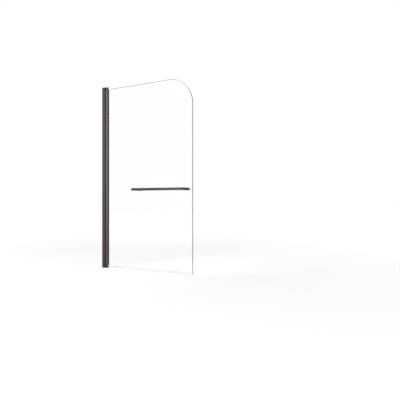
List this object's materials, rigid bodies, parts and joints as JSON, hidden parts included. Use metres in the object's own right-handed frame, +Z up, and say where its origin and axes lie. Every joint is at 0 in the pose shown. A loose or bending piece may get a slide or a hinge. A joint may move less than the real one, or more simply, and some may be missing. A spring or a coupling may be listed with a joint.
{
  "type": "pivoting bath screen",
  "caption": "Pivoting clear-glass bath screen with a rounded free corner, a slim black wall profile and a square black towel rail bolted through the glass.",
  "frame": {"origin": "on the wall face, at mid-depth of the wall channel, at the level of the rim it stands on", "axes": "+X from the wall along the screen, +Y from the outside towards the bath, +Z up"},
  "size_m": [0.8, 0.1265, 1.4],
  "materials": {
    "black_aluminium": "matt black powder coat on extruded aluminium",
    "black_rail": "matt black powder coat on square aluminium tube and bar",
    "black_casting": "matt black paint on a zinc casting",
    "black_plastic": "moulded black plastic, fine spark texture",
    "steel": "plain stainless steel",
    "black_rubber": "extruded black rubber",
    "natural_nylon": "natural white nylon",
    "clear_glass": "clear toughened float glass with ground edges",
    "clear_pvc": "clear extruded soft vinyl, slightly milky"
  },
  "bodies": {
    "wall_frame": {"wall_channel": "black_aluminium", "channel_foot_cap": "black_plastic", "channel_head_cap": "black_plastic", "lock_screws": "steel", "lock_nuts": "steel", "lock_screw_covers": "black_plastic"},
    "sliding_jamb": {"hinge_jamb": "black_aluminium", "jamb_seal": "black_rubber", "lower_pivot_bracket": "black_casting", "upper_pivot_bracket": "black_casting", "lower_bracket_screws": "steel", "upper_bracket_screws": "steel", "lower_pivot_bush": "natural_nylon", "upper_pivot_bush": "natural_nylon", "lower_thrust_washer": "natural_nylon"},
    "swing_screen": {"pivot_post": "black_aluminium", "lower_pivot_plug": "black_casting", "upper_pivot_plug": "black_casting", "upper_thrust_washer": "natural_nylon", "glazing_gasket": "black_rubber", "glass_pane": "clear_glass", "bottom_seal": "clear_pvc", "rail_bar": "black_rail", "rail_post_hinge_side": "black_rail", "rail_post_free_side": "black_rail", "rail_grub_screws": "steel", "rail_studs": "steel", "rail_sleeves": "natural_nylon", "rail_outer_washers": "black_rubber", "rail_inner_washers": "clear_pvc", "rail_knobs": "natural_nylon"}
  },
  "joints": [
    {"name": "width_adjust", "type": "slide", "parent": "wall_frame", "child": "sliding_jamb", "axis": [1, 0, 0], "range_m": [0, 0.01]},
    {"name": "screen_swing", "type": "hinge", "parent": "sliding_jamb", "child": "swing_screen", "pos_m": [0.042, 0, 0.7], "axis": [0, 0, 1], "range_deg": [-75, 90]}
  ]
}
